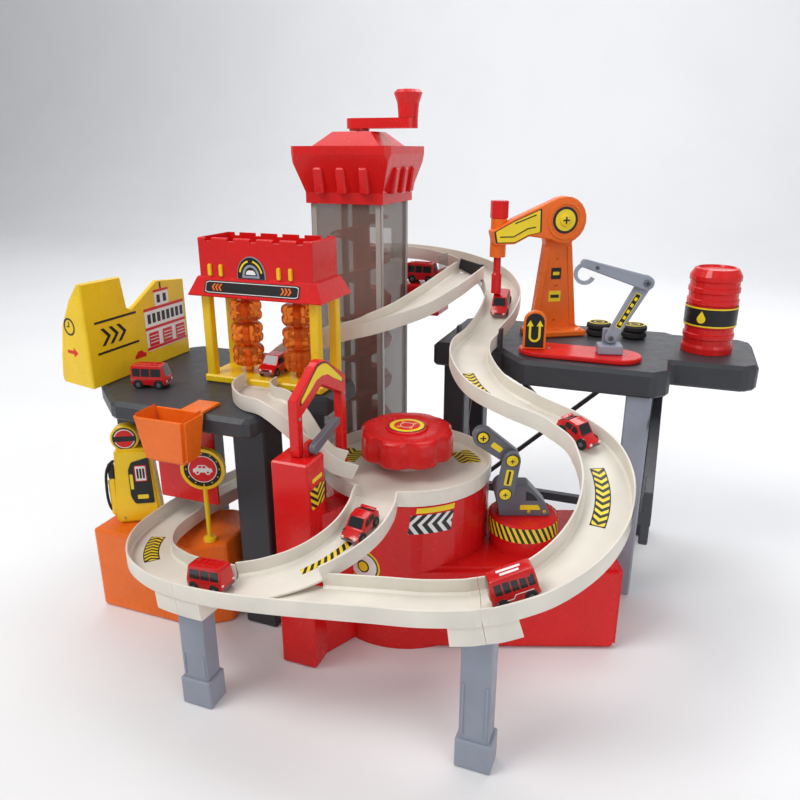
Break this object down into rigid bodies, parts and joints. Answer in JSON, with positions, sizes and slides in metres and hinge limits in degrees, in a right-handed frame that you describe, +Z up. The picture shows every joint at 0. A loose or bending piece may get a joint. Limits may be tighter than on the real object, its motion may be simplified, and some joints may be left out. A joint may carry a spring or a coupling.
{
  "type": "toy parking garage",
  "caption": "Toy parking garage with a hand-cranked car lift, two decks, a run of open tracks, a car wash, cranes, a robot arm and small cars.",
  "frame": {"origin": "on the floor, at the turning axis of the lift, under the middle of the tower's foot", "axes": "+X along the fronts of the two decks towards the right-hand deck, +Z up, -Y the front"},
  "size_m": [0.6424, 0.4839, 0.4993],
  "materials": {
    "red": "glossy moulded red",
    "orange": "glossy moulded orange",
    "yellow": "glossy moulded yellow",
    "ivory": "satin ivory",
    "charcoal": "satin charcoal",
    "grey_blue": "satin grey-blue",
    "robot_grey": "satin dark grey",
    "black_rubber": "matt black",
    "amber": "clear amber",
    "smoke_clear": "clear smoke",
    "red_car": "glossy painted"
  },
  "bodies": {
    "garage": {"tower_foot": "red", "tower_shaft": "smoke_clear", "tower_cap": "red", "left_deck": "charcoal", "left_frame": "charcoal", "red_panel": "red", "sign_wall": "yellow", "wash_stand": "yellow", "wash_roof": "red", "hopper": "orange", "right_deck": "charcoal", "right_post": "grey_blue", "right_frame": "charcoal", "red_plate": "red", "crane_tower": "orange", "plaque": "orange", "hook_base": "grey_blue", "tyre_stack_left": "black_rubber", "tyre_stack_right": "black_rubber", "drum": "red", "central_base": "red", "platform_track": "ivory", "arch": "red", "upper_track": "ivory", "branch_track": "ivory", "long_track": "ivory", "front_track": "ivory", "return_track": "ivory", "ramp": "ivory", "slide": "ivory", "leg_right": "grey_blue", "leg_left": "grey_blue", "orange_block": "orange", "gas_pump": "yellow", "round_sign": "yellow", "exit_stage": "red", "car_stage": "red_car", "car_lift": "red_car", "car_curve": "red_car", "car_front": "red_car", "car_ramp": "red_car", "car_left": "red_car"},
    "lift": {"crank": "red", "lift_screw": "red"},
    "crank_grip": {"crank_knob": "red"},
    "gate": {"split_gate": "charcoal"},
    "roller_left": {"wash_roller_left": "amber"},
    "roller_right": {"wash_roller_right": "amber"},
    "dial": {"dial": "red"},
    "lever": {"lever": "robot_grey"},
    "robot_turntable": {"robot_turntable": "red", "robot_foot": "robot_grey"},
    "robot_lower": {"robot_lower_arm": "robot_grey"},
    "robot_upper": {"robot_upper_arm": "robot_grey"},
    "crane_arm": {"crane_arm": "orange"},
    "crane_spindle": {"crane_spindle": "red"},
    "hook_lower": {"hook_lower_arm": "grey_blue"},
    "hook_upper": {"hook_upper_arm": "grey_blue"},
    "deck_car": {"car_deck": "red_car"},
    "wash_car": {"car_wash": "red_car"}
  },
  "joints": [
    {"name": "lift_turn", "type": "hinge", "parent": "garage", "child": "lift", "pos_m": [0, 0, 0.2], "axis": [0, 0, 1], "continuous": true},
    {"name": "grip_turn", "type": "hinge", "parent": "lift", "child": "crank_grip", "pos_m": [0.054, 0, 0.486], "axis": [0, 0, 1], "continuous": true},
    {"name": "gate_turn", "type": "hinge", "parent": "garage", "child": "gate", "pos_m": [0.115, 0.0835, 0.3003], "axis": [0, 0, 1], "range_deg": [-32, 0]},
    {"name": "roller_left_turn", "type": "hinge", "parent": "garage", "child": "roller_left", "pos_m": [-0.06338, -0.139, 0.26], "axis": [0, 0, 1], "continuous": true},
    {"name": "roller_right_turn", "type": "hinge", "parent": "garage", "child": "roller_right", "pos_m": [-0.00662, -0.139, 0.26], "axis": [0, 0, 1], "continuous": true},
    {"name": "dial_turn", "type": "hinge", "parent": "garage", "child": "dial", "pos_m": [0.102, -0.132, 0.17], "axis": [0, 0, 1], "continuous": true},
    {"name": "lever_turn", "type": "hinge", "parent": "garage", "child": "lever", "pos_m": [0.0585, -0.24, 0.2065], "axis": [1, 0, 0], "range_deg": [-12, 60]},
    {"name": "robot_turn", "type": "hinge", "parent": "garage", "child": "robot_turntable", "pos_m": [0.2155, -0.1195, 0.1], "axis": [0, 0, 1], "range_deg": [-25, 25]},
    {"name": "robot_shoulder", "type": "hinge", "parent": "robot_turntable", "child": "robot_lower", "pos_m": [0.19624, -0.12651, 0.143], "axis": [0.342, -0.9397, 0], "range_deg": [-20, 15]},
    {"name": "robot_elbow", "type": "hinge", "parent": "robot_lower", "child": "robot_upper", "pos_m": [0.20094, -0.1248, 0.1765], "axis": [0.342, -0.9397, 0], "range_deg": [-30, 20]},
    {"name": "crane_pitch", "type": "hinge", "parent": "garage", "child": "crane_arm", "pos_m": [0.203, 0.07, 0.372], "axis": [0.5345, -0.8451, 0], "range_deg": [-20, 0]},
    {"name": "crane_lift", "type": "slide", "parent": "crane_arm", "child": "crane_spindle", "axis": [0, 0, 1], "range_m": [0, 0.012]},
    {"name": "hook_shoulder", "type": "hinge", "parent": "garage", "child": "hook_lower", "pos_m": [0.272, -0.01, 0.266], "axis": [0.2588, -0.9659, 0], "range_deg": [-15, 15]},
    {"name": "hook_elbow", "type": "hinge", "parent": "hook_lower", "child": "hook_upper", "pos_m": [0.29905, -0.00275, 0.322], "axis": [0.2588, -0.9659, 0], "range_deg": [-25, 25]},
    {"name": "deck_car_roll", "type": "slide", "parent": "garage", "child": "deck_car", "axis": [0.9659, 0.2588, 0], "range_m": [-0.01, 0.01]},
    {"name": "wash_car_roll", "type": "slide", "parent": "garage", "child": "wash_car", "axis": [0, -1, 0], "range_m": [0, 0.008]}
  ]
}
